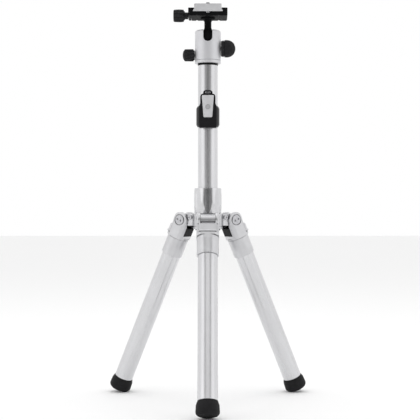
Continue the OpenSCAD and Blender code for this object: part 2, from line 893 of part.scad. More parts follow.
// Inner tube n, with a guide collar at its top and a lip at its lower end that guides the next tube
module inner_tube(i, n) {
    outer = tube_r(n);
    bore = outer - leg_wall;
    low = -foot_top + 0.4;
    color("#c8c8cc") leg_frame(i)
        difference() {
            union() {
                translate([0, 0, low]) cylinder(h = -nest_top - low, r = outer);
                translate([0, 0, -nest_top - guide_l])
                    cylinder(h = guide_l, r = tube_r(n - 1) - leg_wall - guide_gap);
            }
            translate([0, 0, low + guide_l]) cylinder(h = foot_top, r = bore);
            translate([0, 0, low - cut])
                cylinder(h = guide_l + 2 * cut, r = tube_r(n + 1) + guide_gap);
        }
}

// The last tube runs on into the foot
module last_tube(i) {
    outer = tube_r(3);
    low = -foot_top - 9;
    color("#c8c8cc") leg_frame(i)
        difference() {
            union() {
                translate([0, 0, low]) cylinder(h = -nest_top - low, r = outer);
                translate([0, 0, -nest_top - guide_l])
                    cylinder(h = guide_l, r = tube_r(2) - leg_wall - guide_gap);
            }
            translate([0, 0, low - cut]) cylinder(h = foot_top, r = outer - leg_wall);
        }
}

module foot(i) {
    dome = 0.8;
    dome_r = (edge_r * edge_r + dome * dome) / (2 * dome);
    color("#1b1b1b") leg_frame(i)
        difference() {
            translate([0, 0, -leg_l])
                rotate_extrude($fn = 96) {
                    polygon([
                        [0, 0], [edge_r, 0], [edge_r, foot_round], [foot_r, foot_round],
                        [foot_r - 0.4, foot_l - 5], [leg_r + 0.2, foot_l], [0, foot_l]
                    ]);
                    translate([edge_r, foot_round]) circle(r = foot_round);
                    intersection() {
                        translate([0, dome_r - dome]) circle(r = dome_r, $fn = 360);
                        translate([0, -dome]) square([edge_r, dome + 0.5]);
                    }
                }
            translate([0, 0, -foot_top - 9.3]) cylinder(h = 20, r = tube_r(3) + slack);
        }
}

spider();
hub_screws();
column_bush();
column_collet();
lock_collar();
column_tube();
column_ring();
column_stud();
column_end_cap();
bag_hook();
remote_holder();
remote_case();
remote_face();
remote_button();
remote_battery();
pan_base();
head_body();
ball_cup();
ball_stem();
ball_lock_knob();
ball_lock_screw();
pan_lock_knob();
pan_lock_screw();
clamp_body();
clamp_bolt();
clamp_jaw();
clamp_knob();
clamp_screw();
plate();
plate_pads();
camera_screw();
stop_screws();
for (i = [0:2]) {
    leg_top(i);
    pivot_bolt(i);
    fork_block(i);
    stop_tab(i);
    leg_tube(i);
    inner_tube(i, 1);
    inner_tube(i, 2);
    last_tube(i);
    foot(i);
}
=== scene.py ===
"""Travel tripod with a ball head: finishes, moulded and turned pieces, and the studio it stands in."""

import json
import math

import bmesh
import bpy
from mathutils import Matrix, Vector


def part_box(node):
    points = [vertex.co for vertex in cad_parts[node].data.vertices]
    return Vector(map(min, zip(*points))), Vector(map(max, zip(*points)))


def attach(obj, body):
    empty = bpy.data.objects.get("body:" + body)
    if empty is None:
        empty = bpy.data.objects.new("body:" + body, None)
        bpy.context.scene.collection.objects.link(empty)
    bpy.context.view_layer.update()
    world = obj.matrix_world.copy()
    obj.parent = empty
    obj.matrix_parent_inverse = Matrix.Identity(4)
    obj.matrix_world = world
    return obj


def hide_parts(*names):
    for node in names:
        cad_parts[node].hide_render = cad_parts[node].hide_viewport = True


bl_info = {
    "name": "Travel tripod",
    "version": (1, 0, 0),
    "blender": (4, 5, 0),
    "location": "View3D > Sidebar > Tripod",
    "description": "Finishes a travel tripod with a ball head and a column remote",
    "category": "Object",
}

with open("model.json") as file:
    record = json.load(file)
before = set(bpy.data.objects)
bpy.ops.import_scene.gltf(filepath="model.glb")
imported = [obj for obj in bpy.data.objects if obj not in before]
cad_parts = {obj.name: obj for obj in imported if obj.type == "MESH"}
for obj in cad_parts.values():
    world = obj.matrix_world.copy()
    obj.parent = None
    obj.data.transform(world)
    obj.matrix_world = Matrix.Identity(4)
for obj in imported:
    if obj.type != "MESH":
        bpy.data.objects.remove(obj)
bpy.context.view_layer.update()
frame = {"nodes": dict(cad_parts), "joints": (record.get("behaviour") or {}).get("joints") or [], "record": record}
NODES = frame["nodes"]
SIDES = ("front", "right", "left")
AZIMUTH = {"front": -90.0, "right": 30.0, "left": 150.0}
MM = 0.001


def middle(node):
    """The middle of a node's box."""
    low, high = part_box(node)
    return (Vector(low) + Vector(high)) / 2


def joint(name):
    """A joint of the record by its name."""
    return next(j for j in frame["joints"] if j["name"] == name)


BODY_OF = {node: body for body, nodes in frame["record"]["behaviour"]["bodies"].items() for node in nodes}
COLUMN = middle("column_tube")
LEG_AXIS = {side: Vector(joint(side + "_foot_twist")["axis"]) for side in SIDES}


# Sizes and colours that a user would change


class TripodSizes(bpy.types.PropertyGroup):
    """Sizes of the details that are modelled here."""

    edge: bpy.props.FloatProperty(
        name="Edge rounding", description="Radius of the eased edges on metal", default=0.4 * MM,
        unit="LENGTH",
    )
    thread_pitch: bpy.props.FloatProperty(
        name="Thread pitch", description="Pitch of the camera screw's thread", default=1.27 * MM,
        unit="LENGTH",
    )
    knurl_pitch: bpy.props.FloatProperty(
        name="Knurl pitch", description="Distance between the ball lock knob's studs", default=1.2 * MM,
        unit="LENGTH",
    )


class TripodColours(bpy.types.PropertyGroup):
    """Colours of the finishes, as sRGB hex values."""

    silver: bpy.props.StringProperty(name="Silver", description="Anodised tubes", default="D8D8DA")
    casting: bpy.props.StringProperty(name="Casting", description="Anodised castings", default="D2D2D4")
    black: bpy.props.StringProperty(name="Black metal", description="Black anodised metal", default="101011")
    rubber: bpy.props.StringProperty(name="Rubber", description="Feet, knobs and pads", default="131314")
    plastic: bpy.props.StringProperty(name="Plastic", description="Moulded black parts", default="101012")
    steel: bpy.props.StringProperty(name="Steel", description="Screws and bolts", default="C6C6C9")
    floor: bpy.props.StringProperty(name="Floor", description="Studio floor", default="FDFDFD")


class TripodStudio(bpy.types.PropertyGroup):
    """Camera and light."""

    distance: bpy.props.FloatProperty(
        name="Camera distance", description="From the column's axis", default=1.413, unit="LENGTH"
    )
    camera_height: bpy.props.FloatProperty(
        name="Camera height", description="Above the floor", default=0.241, unit="LENGTH"
    )
    camera_shift: bpy.props.FloatProperty(
        name="Camera offset", description="Sideways from the column", default=0.0027, unit="LENGTH"
    )
    lens: bpy.props.FloatProperty(name="Lens", description="Focal length in millimetres", default=95.4)
    world: bpy.props.FloatProperty(name="Sky", description="Strength of the white surround", default=1.0)


# Materials


def linear(code):
    """An sRGB hex value as a linear colour with alpha."""
    values = [int(code[i : i + 2], 16) / 255 for i in (0, 2, 4)]
    return (*(v / 12.92 if v <= 0.04045 else ((v + 0.055) / 1.055) ** 2.4 for v in values), 1.0)


def add_node(material, kind, inputs=None, links=(), **settings):
    """Adds one node, sets its attributes and inputs, and links (output, input name) pairs into it."""
    tree = material.node_tree
    node = tree.nodes.new(kind)
    for key, value in settings.items():
        setattr(node, key, value)
    for key, value in (inputs or {}).items():
        node.inputs[key].default_value = value
    for output, key in links:
        tree.links.new(output, node.inputs[key])
    return node


def principled(name, colour, **sockets):
    """A new material and its Principled shader, with its sockets set by name."""
    material = bpy.data.materials.new(name)
    material.use_nodes = True
    shader = material.node_tree.nodes["Principled BSDF"]
    shader.inputs["Base Color"].default_value = linear(colour)
    for key, value in sockets.items():
        shader.inputs[key.replace("_", " ")].default_value = value
    return material, shader


def object_coordinates(material, turn=None, stretch=(1, 1, 1), centre=(0, 0, 0)):
    """Object coordinates, moved so that centre is the origin, turned by an Euler angle and then stretched."""
    coordinates = add_node(material, "ShaderNodeTexCoord")
    moved = add_node(
        material,
        "ShaderNodeVectorMath",
        {1: centre},
        [(coordinates.outputs["Object"], 0)],
        operation="SUBTRACT",
    )
    turned = add_node(
        material, "ShaderNodeMapping", {"Rotation": turn or (0, 0, 0)}, [(moved.outputs[0], "Vector")]
    )
    return add_node(
        material, "ShaderNodeVectorMath", {1: stretch}, [(turned.outputs[0], 0)], operation="MULTIPLY"
    ).outputs[0]


def vary(material, shader, vector, scale, low, high, socket="Roughness", detail=3.0):
    """Noise of a given scale drives a socket between two values."""
    noise = add_node(
        material,
        "ShaderNodeTexNoise",
        {"Scale": scale, "Detail": detail, "Roughness": 0.6},
        [(vector, "Vector")],
    )
    span = add_node(
        material,
        "ShaderNodeMapRange",
        {"From Min": 0.3, "From Max": 0.7, "To Min": low, "To Max": high},
        [(noise.outputs["Fac"], "Value")],
    )
    material.node_tree.links.new(span.outputs[0], shader.inputs[socket])
    return noise


def tone(material, shader, vector, scale, colour, other, detail=4.0, crease_shade=0.35):
    """Noise blends the base colour between two hex values, and painted shade in creases darkens it to a share of
    that.
    """
    noise = add_node(
        material,
        "ShaderNodeTexNoise",
        {"Scale": scale, "Detail": detail, "Roughness": 0.55},
        [(vector, "Vector")],
    )
    ramp = add_node(material, "ShaderNodeValToRGB", links=[(noise.outputs["Fac"], "Fac")])
    ramp.color_ramp.elements[0].position = 0.32
    ramp.color_ramp.elements[0].color = linear(other)
    ramp.color_ramp.elements[1].position = 0.68
    ramp.color_ramp.elements[1].color = linear(colour)
    # painted shade: creases found by occlusion within 2 mm are darkened in the base colour, where shade falls
    open_air = add_node(material, "ShaderNodeAmbientOcclusion", {"Distance": 2 * MM}, samples=8)
    share = add_node(
        material,
        "ShaderNodeMapRange",
        {"From Min": 0.15, "From Max": 0.75, "To Min": crease_shade, "To Max": 1.0},
        [(open_air.outputs["AO"], "Value")],
    )
    # the random tone of the base colour, times the painted crease shade
    tone_and_crease_shade = add_node(
        material,
        "ShaderNodeVectorMath",
        links=[(ramp.outputs[0], 0), (share.outputs[0], 1)],
        operation="MULTIPLY",
    )
    material.node_tree.links.new(tone_and_crease_shade.outputs[0], shader.inputs["Base Color"])


def relief(material, shader, height, depth, edge=0.0):
    """Bump of a given depth in metres, over edges rounded by a given radius."""
    links = [(height, "Height")]
    if edge:
        eased = add_node(material, "ShaderNodeBevel", {"Radius": edge}, samples=6)
        links.append((eased.outputs[0], "Normal"))
    bump = add_node(material, "ShaderNodeBump", {"Strength": 1.0, "Distance": depth}, links)
    material.node_tree.links.new(bump.outputs[0], shader.inputs["Normal"])


def shade(code, factor):
    """A hex value made darker or lighter by a factor."""
    return "".join(f"{max(0, min(255, round(int(code[i:i + 2], 16) * factor))):02X}" for i in (0, 2, 4))


def drawn_aluminium(name, colour, turn=None, edge=0.0):
    """Drawn tube, brushed along its length and clear anodised: a soft sheen with fine lines."""
    material, shader = principled(name, colour, Metallic=1.0)
    # draw lines about 0.25 mm apart and 60 mm long
    lines = object_coordinates(material, turn, (1, 1, 0.004))
    grain = vary(material, shader, lines, 4000, 0.2, 0.34)
    # the anodising varies by a few parts in a hundred over some 30 mm
    tone(material, shader, object_coordinates(material, turn, (1, 1, 0.25)), 60, colour, shade(colour, 0.965))
    relief(material, shader, grain.outputs["Fac"], 0.006 * MM, edge)
    return material


def blasted_aluminium(name, colour, edge=0.0, metallic=1.0):
    """Bead blasted and anodised: an even, fine frost that spreads highlights."""
    material, shader = principled(name, colour, Metallic=metallic)
    vector = object_coordinates(material)
    # bead marks about 0.15 mm across
    grain = vary(material, shader, vector, 6500, 0.3, 0.42, detail=2.0)
    tone(material, shader, vector, 90, colour, shade(colour, 0.96))
    relief(material, shader, grain.outputs["Fac"], 0.008 * MM, edge)
    return material


def turned_aluminium(name, colour, centre, edge=0.0, low=0.2, high=0.32, metallic=1.0):
    """Lathe-turned and anodised: rings round the axis that catch the light."""
    material, shader = principled(name, colour, Metallic=metallic)
    vector = object_coordinates(material, centre=centre, stretch=(0.02, 0.02, 1))
    # feed marks 0.12 mm apart
    rings = vary(material, shader, vector, 8000, low, high, detail=1.0)
    tone(material, shader, object_coordinates(material), 80, colour, shade(colour, 0.96))
    relief(material, shader, rings.outputs["Fac"], 0.004 * MM, edge)
    return material


def black_anodised(name, colour, edge=0.0):
    """Milled aluminium, blasted and dyed black: deep satin with a faint dusty grain."""
    material, shader = principled(name, colour, Specular_IOR_Level=0.06)
    vector = object_coordinates(material)
    grain = vary(material, shader, vector, 5000, 0.5, 0.66, detail=2.0)
    tone(material, shader, vector, 160, colour, shade(colour, 1.45))
    relief(material, shader, grain.outputs["Fac"], 0.01 * MM, edge)
    return material


def moulded_rubber(name, colour, grit=0.5, gloss=0.22, crease_shade=0.35):
    """Moulded rubber: matte and slightly dusty, with a pebbled skin and painted shade in its creases."""
    material, shader = principled(name, colour, Specular_IOR_Level=gloss)
    vector = object_coordinates(material)
    pebbles = add_node(
        material, "ShaderNodeTexVoronoi", {"Scale": 1000 / grit}, [(vector, "Vector")], feature="SMOOTH_F1"
    )
    vary(material, shader, vector, 900, 0.56, 0.76)
    # painted shade in creases, down to the given share of the colour
    tone(material, shader, vector, 220, colour, shade(colour, 1.5), crease_shade=crease_shade)
    relief(material, shader, pebbles.outputs["Distance"], 0.05 * MM, 0.3 * MM)
    return material


def moulded_plastic(name, colour, low=0.38, high=0.55, metallic=0.0, gloss=0.12):
    """ABS with a spark-eroded grain: an even, low sheen."""
    material, shader = principled(name, colour, Metallic=metallic, Specular_IOR_Level=gloss)
    vector = object_coordinates(material)
    # grain about 0.3 mm
    grain = vary(material, shader, vector, 3300, low, high)
    tone(material, shader, vector, 150, colour, shade(colour, 1.2 if metallic == 0 else 0.95))
    relief(material, shader, grain.outputs["Fac"], 0.015 * MM, 0.35 * MM)
    return material


def bright_steel(name, colour, edge=0.0):
    """Turned and plated steel: bright, with fine tool marks."""
    material, shader = principled(name, colour, Metallic=1.0)
    vector = object_coordinates(material)
    marks = vary(material, shader, vector, 3500, 0.14, 0.28)
    tone(material, shader, vector, 400, colour, shade(colour, 0.9))
    relief(material, shader, marks.outputs["Fac"], 0.004 * MM, edge)
    return material


def along_leg(side):
    """The Euler angle that turns object coordinates until +Z runs along a leg."""
    return tuple(LEG_AXIS[side].rotation_difference(Vector((0, 0, -1))).to_euler())


MATERIALS = {}


def give(piece, material):
    """The piece shows this material and no other."""
    piece.data.materials.clear()
    piece.data.materials.append(material)


def make_materials(colours, sizes):
    """All the finishes, by the name that the pieces use."""
    edge = sizes.edge
    made = {
        "tube": drawn_aluminium("drawn_aluminium_column", colours.silver, edge=edge),
        "casting": blasted_aluminium("blasted_aluminium", colours.casting, edge),
        "collar": turned_aluminium("turned_aluminium_collar", colours.silver, COLUMN, edge, 0.1, 0.18),
        # the head's thick, rough anodising looks half like paint
        "head": turned_aluminium(
            "turned_aluminium_head", shade(colours.silver, 1.03), COLUMN, edge, 0.36, 0.5, metallic=0.4
        ),
        "plate": blasted_aluminium("milled_aluminium_plate", colours.silver, edge, 0.12),
        "black_metal": black_anodised("black_anodised_aluminium", colours.black, edge),
        "rubber": moulded_rubber("moulded_rubber", colours.rubber),
        # the knobs' rubber takes deep painted shade in its creases, down to a tenth of its colour
        "knob_rubber": moulded_rubber("knob_rubber", shade(colours.rubber, 1.25), 0.35, 0.3, 0.1),
        "plastic": moulded_plastic("black_abs", colours.plastic),
        "holder": moulded_plastic("satin_black_abs", colours.plastic, 0.3, 0.42, gloss=0.3),
        "steel": bright_steel("plated_steel", colours.steel, edge * 0.6),
        "dark_steel": bright_steel("blackened_steel", "8A8A8C", edge * 0.3),
        "remote_face": moulded_plastic("silver_painted_abs", "E0E0E2", 0.34, 0.46, 0.2, 0.3),
        "button": moulded_plastic("grey_abs", "BDBDBF", 0.4, 0.5, 0.2, 0.3),
        "cup": moulded_plastic("acetal", "2C2C30", 0.3, 0.4),
    }
    for side in SIDES:
        made[side + "_tube"] = drawn_aluminium(
            f"drawn_aluminium_{side}_leg", colours.silver, along_leg(side), edge
        )
    MATERIALS.update(made)


# Modelling helpers


def clear_selection():
    """Nothing is selected or active."""
    bpy.ops.object.select_all(action="DESELECT")
    bpy.context.view_layer.objects.active = None


def edit(piece):
    """Selects one piece and goes into edit mode with all of it selected."""
    clear_selection()
    piece.select_set(True)
    bpy.context.view_layer.objects.active = piece
    bpy.ops.object.mode_set(mode="EDIT")
    bpy.ops.mesh.select_all(action="SELECT")


def leave():
    """Back to object mode."""
    bpy.ops.object.mode_set(mode="OBJECT")


def pick_faces(piece, wanted):
    """In edit mode, selects the faces for which wanted(face) is true and returns how many there are."""
    bpy.ops.mesh.select_mode(type="FACE")
    mesh = bmesh.from_edit_mesh(piece.data)
    count = 0
    for face in mesh.faces:
        face.select_set(bool(wanted(face)))
        count += face.select
    mesh.select_flush_mode()
    bmesh.update_edit_mesh(piece.data)
    return count


def apply_modifier(piece, kind, **settings):
    """Adds a modifier, sets it and applies it."""
    modifier = piece.modifiers.new(kind.lower(), kind)
    for key, value in settings.items():
        setattr(modifier, key, value)
    clear_selection()
    piece.select_set(True)
    bpy.context.view_layer.objects.active = piece
    bpy.ops.object.modifier_apply(modifier=modifier.name)


def smooth(piece, angle):
    """Smooth shading, but for edges sharper than an angle."""
    clear_selection()
    piece.select_set(True)
    bpy.context.view_layer.objects.active = piece
    bpy.ops.object.shade_smooth_by_angle(angle=math.radians(angle))


def outward(piece):
    """Merges doubles and turns every face outward."""
    edit(piece)
    bpy.ops.mesh.remove_doubles(threshold=0.002 * MM)
    bpy.ops.mesh.select_all(action="SELECT")
    bpy.ops.mesh.normals_make_consistent(inside=False)
    leave()


def stand_for(piece, node, finish):
    """The piece rides with a CAD node's body, stands for that node and takes the given finish."""
    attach(piece, BODY_OF[node])
    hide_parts(node)
    give(piece, MATERIALS[finish])


def duplicate(source, name):
    """A copy of a piece with its own mesh."""
    clear_selection()
    source.hide_set(False)
    source.select_set(True)
    bpy.context.view_layer.objects.active = source
    bpy.ops.object.duplicate()
    piece = bpy.context.object
    piece.name = name
    return piece


def eased_copy(node, width):
    """A copy of a CAD node with its sharp edges rounded."""
    piece = duplicate(NODES[node], node + "_eased")
    edit(piece)
    # short slivers would keep the rounding from reaching its width
    bpy.ops.mesh.remove_doubles(threshold=0.02 * MM)
    bpy.ops.mesh.select_all(action="SELECT")
    bpy.ops.mesh.dissolve_limited(angle_limit=math.radians(1.0))
    leave()
    apply_modifier(
        piece, "BEVEL", width=width, segments=3, limit_method="ANGLE", angle_limit=math.radians(38),
        use_clamp_overlap=True, miter_outer="MITER_SHARP",
    )
    smooth(piece, 30)
    apply_modifier(piece, "WEIGHTED_NORMAL", keep_sharp=True)
    return piece


def turned(name, base, side, profile, steps, twist=0.0):
    """A solid turned round the X axis from (distance, radius) pairs; side is +1 or -1 along X.

    Each ring is extruded from the last, scaled to its radius and turned by twist per metre of length."""
    clear_selection()
    start, radius = profile[0]
    bpy.ops.mesh.primitive_circle_add(
        vertices=steps, radius=radius, fill_type="NGON",
        location=(base.x + side * start, base.y, base.z), rotation=(0, math.radians(90), 0),
    )
    piece = bpy.context.object
    piece.name = name
    edit(piece)
    for (before, old), (after, new) in zip(profile, profile[1:]):
        bpy.ops.mesh.extrude_region_move(TRANSFORM_OT_translate={"value": (side * (after - before), 0, 0)})
        centre = (base.x + side * after, base.y, base.z)
        if new != old:
            scale = new / old
            bpy.ops.transform.resize(value=(scale, scale, scale), center_override=centre)
        if twist:
            bpy.ops.transform.rotate(
                value=twist * (after - before), orient_axis="X", center_override=centre
            )
    leave()
    bpy.ops.object.transform_apply(location=True, rotation=True, scale=True)
    outward(piece)
    return piece


def grip_ribs(piece, base, span, steps, period, width, depth, twist=0.0):
    """Raises width of every period columns of a turned grip into ribs.

    span is the grip's (start, end) along the axis, and twist its turn per metre."""

    def raised(face):
        place = face.calc_center_median() - base
        along = abs(place.x)
        radial = Vector((0, face.normal.y, face.normal.z)).length
        if not span[0] < along < span[1] or radial < 0.5:
            return False
        angle = math.atan2(place.z, place.y) - math.copysign(twist, 1) * along
        return int(math.floor(angle / (2 * math.pi / steps) + 0.25)) % period < width

    edit(piece)
    if not pick_faces(piece, raised):
        raise RuntimeError(f"{piece.name} has no grip to rib")
    bpy.ops.mesh.extrude_region_shrink_fatten(TRANSFORM_OT_shrink_fatten={"value": depth})
    leave()


FINISHES = {
    "tube": ["column_tube"],
    "casting": ["spider"],
    "collar": ["lock_collar"],
    "head": ["head_body", "pan_base"],
    "plate": ["plate"],
    "black_metal": ["ball_stem", "clamp_body", "clamp_jaw"],
    "knob_rubber": ["ball_lock_knob", "pan_lock_knob", "clamp_knob"],
    "rubber": ["plate_pads"],
    "plastic": ["column_bush", "column_collet", "column_ring", "column_end_cap", "remote_case"],
    "holder": ["remote_holder"],
    "steel": [
        "hub_screws", "column_stud", "bag_hook", "ball_lock_screw", "pan_lock_screw", "clamp_bolt",
        "clamp_screw", "camera_screw", "stop_screws", "remote_battery",
    ],
    "remote_face": ["remote_face"],
    "button": ["remote_button"],
    "cup": ["ball_cup"],
}
LEG_FINISHES = {
    "casting": ["leg_top", "stop_tab"],
    "steel": ["pivot_bolt"],
    "plastic": ["fork_block"],
    "rubber": ["foot"],
}


class TRIPOD_OT_finishes(bpy.types.Operator):
    """Gives every part of the frame its finish"""

    bl_idname = "tripod.finishes"
    bl_label = "Finishes"

    def execute(self, context):
        make_materials(context.scene.tripod_colours, context.scene.tripod_sizes)
        for finish, nodes in FINISHES.items():
            for node in nodes:
                give(NODES[node], MATERIALS[finish])
        for side in SIDES:
            for finish, parts in LEG_FINISHES.items():
                for part in parts:
                    give(NODES[f"{side}_{part}"], MATERIALS[finish])
            for part in ("leg_tube", "tube_2", "tube_3", "tube_4"):
                give(NODES[f"{side}_{part}"], MATERIALS[side + "_tube"])
        return {"FINISHED"}


# Pieces


def rounded_end(start, end, radius, corner, count=6):
    """(distance, radius) pairs of a quarter round that ends a turned grip."""
    pairs = []
    for k in range(count + 1):
        angle = math.pi / 2 * k / count
        pairs.append((end - corner + corner * math.sin(angle), radius - corner + corner * math.cos(angle)))
    return [p for p in pairs if p[0] > start]


def knob_base(node, side):
    """The middle of a knob's inner end, its length and its radius."""
    low, high = (Vector(v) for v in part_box(node))
    centre = (low + high) / 2
    return Vector((low.x if side > 0 else high.x, centre.y, centre.z)), high.x - low.x, (high.z - low.z) / 2


class TRIPOD_OT_ball_lock_knob(bpy.types.Operator):
    """Turns and knurls the domed knob that locks the ball"""

    bl_idname = "tripod.ball_lock_knob"
    bl_label = "Ball lock knob"

    def execute(self, context):
        base, length, radius = knob_base("ball_lock_knob", 1)
        steps = round(2 * math.pi * radius / context.scene.tripod_sizes.knurl_pitch)
        relief_depth = 0.25 * MM
        core = radius - relief_depth
        straight = length - radius
        # base ring, groove, then the straight part of the grip and its dome
        profile = [
            (0.0, radius - 1.7 * MM), (0.3 * MM, radius - 1.3 * MM), (3.2 * MM, radius - 0.5 * MM),
            (3.5 * MM, radius - 0.7 * MM), (3.6 * MM, radius - 1.3 * MM), (4.3 * MM, radius - 1.3 * MM),
            (4.4 * MM, core - 0.2 * MM), (4.7 * MM, core), (6.1 * MM, core), (straight, core),
        ]
        bands = 11
        for k in range(1, bands):
            angle = math.radians(84) * k / (bands - 1)
            profile.append((straight + core * math.sin(angle), core * math.cos(angle)))
        profile.append((straight + core, core * 0.02))
        piece = turned("ball_lock_knob_turned", base, 1, profile, steps)
        edit(piece)
        grip_end = base.x + straight + core * math.sin(math.radians(62))
        if not pick_faces(
            piece, lambda f: base.x + 4.75 * MM < f.calc_center_median().x < grip_end and len(f.verts) == 4
        ):
            raise RuntimeError("the ball lock knob has no grip to knurl")
        bpy.ops.mesh.inset(use_individual=True, thickness=0.24 * MM, depth=relief_depth)
        leave()
        smooth(piece, 40)
        stand_for(piece, "ball_lock_knob", "knob_rubber")
        return {"FINISHED"}


class TRIPOD_OT_ribbed_knobs(bpy.types.Operator):
    """Turns and ribs the pan lock knob and the clamp knob"""

    bl_idname = "tripod.ribbed_knobs"
    bl_label = "Pan and clamp knobs"

    def execute(self, context):
        steps = 72
        depth = 0.75 * MM
        # pan lock knob: a collar, then a domed grip with slanted ribs
        base, length, radius = knob_base("pan_lock_knob", -1)
        core = radius - depth
        profile = [(0.0, radius - 1.9 * MM), (0.2 * MM, radius - 1.6 * MM), (1.6 * MM, radius - 1.6 * MM)]
        profile += [(1.7 * MM, core - 0.5 * MM), (2.4 * MM, core)]
        end = length - 4.2 * MM
        profile += [(2.4 * MM + (end - 2.4 * MM) * k / 5, core) for k in range(1, 6)]
        profile += rounded_end(end, length - 0.3 * MM, core, 3.9 * MM)[1:]
        profile.append((length, core - 4.8 * MM))
        twist = math.radians(18) / (10 * MM)
        pan = turned("pan_lock_knob_turned", base, -1, profile, steps, twist)
        grip_ribs(pan, base, (1.7 * MM, length - 1.9 * MM), steps, 6, 3, depth, twist)

        # clamp knob: a slim neck, then a barrel with straight ribs
        base, length, radius = knob_base("clamp_knob", -1)
        core = radius - depth
        profile = [(0.0, 4.35 * MM), (4.2 * MM, 4.35 * MM), (4.4 * MM, 5.4 * MM), (5.5 * MM, core - 1.2 * MM)]
        first, last = 5.8 * MM, length - 1.2 * MM
        for k in range(9):
            share = k / 8
            # the grip swells by 0.4 mm at its middle
            swell = 0.4 * MM * (1 - (2 * share - 1) ** 2)
            profile.append((first + (last - first) * share, core - 0.4 * MM + swell))
        # rounded rim, and a shallow dish in the end
        profile += [(length - 0.5 * MM, core - 0.7 * MM), (length, core - 1.5 * MM)]
        profile += [(length, core - 4.5 * MM), (length - 0.6 * MM, core - 5.0 * MM)]
        clamp = turned("clamp_knob_turned", base, -1, profile, steps)
        grip_ribs(clamp, base, (5.6 * MM, length - 0.8 * MM), steps, 6, 3, depth)

        for piece, node in ((pan, "pan_lock_knob"), (clamp, "clamp_knob")):
            apply_modifier(
                piece, "BEVEL", width=0.15 * MM, segments=2, limit_method="ANGLE",
                angle_limit=math.radians(40),
            )
            smooth(piece, 40)
            stand_for(piece, node, "knob_rubber")
        return {"FINISHED"}


class TRIPOD_OT_camera_screw(bpy.types.Operator):
    """Cuts the thread of the camera screw, on a copy of its plain head and shank"""

    bl_idname = "tripod.camera_screw"
    bl_label = "Camera screw"

    def execute(self, context):
        pitch = context.scene.tripod_sizes.thread_pitch
        low, high = (Vector(v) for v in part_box("camera_screw"))
        centre = (low + high) / 2
        # a quarter inch across, and its root
        radius = 3.175 * MM
        core = radius - 0.62 * pitch
        plate_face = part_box("plate")[1][2]

        # the head and shank, cut off just under the plate's face
        piece = duplicate(NODES["camera_screw"], "camera_screw_cut")
        outward(piece)
        edit(piece)
        bpy.ops.mesh.bisect(
            plane_co=(0, 0, plate_face - 1.5 * MM), plane_no=(0, 0, 1), clear_outer=True, use_fill=True
        )
        leave()

        # core with a coned tip
        clear_selection()
        bpy.ops.mesh.primitive_circle_add(
            vertices=48, radius=core, fill_type="NGON", location=(centre.x, centre.y, plate_face - 1.7 * MM)
        )
        shank = bpy.context.object
        edit(shank)
        rise = high.z - 0.5 * MM - (plate_face - 1.7 * MM)
        bpy.ops.mesh.extrude_region_move(TRANSFORM_OT_translate={"value": (0, 0, rise)})
        bpy.ops.mesh.extrude_region_move(TRANSFORM_OT_translate={"value": (0, 0, 0.5 * MM)})
        bpy.ops.transform.resize(
            value=(0.82, 0.82, 1), center_override=(centre.x, centre.y, high.z)
        )
        leave()
        outward(shank)

        # thread: a triangle as its ridge's profile, swept round and up
        clear_selection()
        bottom = plate_face - 1.4 * MM
        bpy.ops.mesh.primitive_circle_add(
            vertices=3, radius=pitch * 0.56, location=(centre.x, centre.y, bottom)
        )
        ridge = bpy.context.object
        edit(ridge)
        for axis in ("X", "Y"):
            bpy.ops.transform.rotate(
                value=math.radians(90), orient_axis=axis, center_override=tuple(ridge.location)
            )
        leave()
        reach = max((ridge.matrix_world @ v.co).x for v in ridge.data.vertices) - centre.x
        edit(ridge)
        bpy.ops.transform.translate(value=(radius - reach, 0, 0))
        leave()
        turns = int((high.z - 0.7 * MM - bottom) / pitch)
        apply_modifier(
            ridge, "SCREW", angle=2 * math.pi, screw_offset=pitch, iterations=turns, steps=36,
            render_steps=36, use_normal_calculate=True,
        )
        edit(ridge)
        bpy.ops.mesh.select_all(action="DESELECT")
        bpy.ops.mesh.select_mode(type="EDGE")
        bpy.ops.mesh.select_non_manifold()
        bpy.ops.mesh.edge_face_add()
        leave()
        outward(ridge)

        clear_selection()
        for part in (shank, ridge, piece):
            part.select_set(True)
        bpy.context.view_layer.objects.active = piece
        bpy.ops.object.join()
        bpy.ops.object.transform_apply(location=True, rotation=True, scale=True)
        smooth(piece, 30)
        stand_for(piece, "camera_screw", "dark_steel")
        return {"FINISHED"}


EASED = {
    "casting": {"spider": 0.4},
    "collar": {"lock_collar": 0.5},
    "head": {"head_body": 0.4, "pan_base": 0.25},
    "plate": {"plate": 0.3},
    "black_metal": {"ball_stem": 0.3, "clamp_body": 0.35, "clamp_jaw": 0.35},
    "rubber": {"plate_pads": 0.2},
    "plastic": {"column_ring": 0.3, "column_end_cap": 0.6, "remote_case": 0.8},
    "holder": {"remote_holder": 0.8},
    "remote_face": {"remote_face": 0.35},
    "button": {"remote_button": 0.25},
}
LEG_EASED = {
    "casting": {"leg_top": 0.5, "stop_tab": 0.35},
    "steel": {"pivot_bolt": 0.25},
    "plastic": {"fork_block": 0.4},
    "rubber": {"foot": 0.9},
}


class TRIPOD_OT_eased_pieces(bpy.types.Operator):
    """Rounds the edges of the cast, machined and moulded pieces of the head, column and hub"""

    bl_idname = "tripod.eased_pieces"
    bl_label = "Head, column and hub"

    def execute(self, context):
        for finish, nodes in EASED.items():
            for node, width in nodes.items():
                stand_for(eased_copy(node, width * MM), node, finish)
        return {"FINISHED"}


